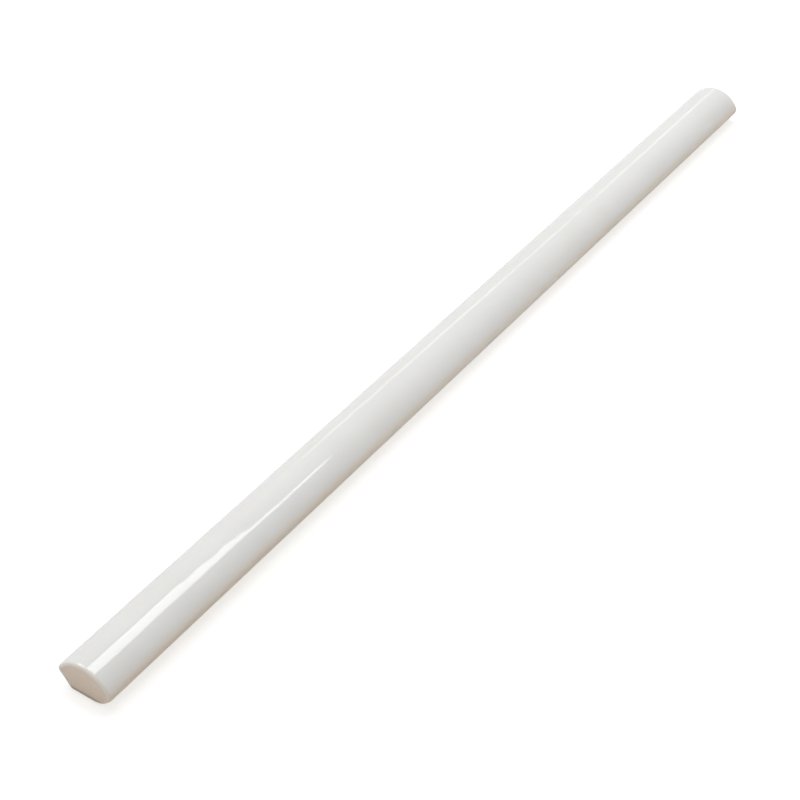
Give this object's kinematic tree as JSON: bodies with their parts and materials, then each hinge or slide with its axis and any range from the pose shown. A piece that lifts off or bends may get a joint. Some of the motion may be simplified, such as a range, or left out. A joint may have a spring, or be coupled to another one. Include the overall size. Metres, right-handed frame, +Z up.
{
  "type": "bullnose tile",
  "caption": "Slim glazed ceramic trim tile with a domed top, a rounded nose edge and a flat unglazed underside, square cut at both ends.",
  "frame": {"origin": "middle of the flat underside on which the tile lies", "axes": "+X along the tile's length, -Y towards the rounded nose, +Y towards the back shoulder, +Z up through the crown"},
  "size_m": [0.305, 0.015, 0.0092],
  "materials": {
    "glazed_ceramic": "glossy white glaze over a buff fired clay body, bare at the ends and underneath"
  },
  "bodies": {
    "root": {"bullnose_tile": "glazed_ceramic"}
  },
  "joints": []
}
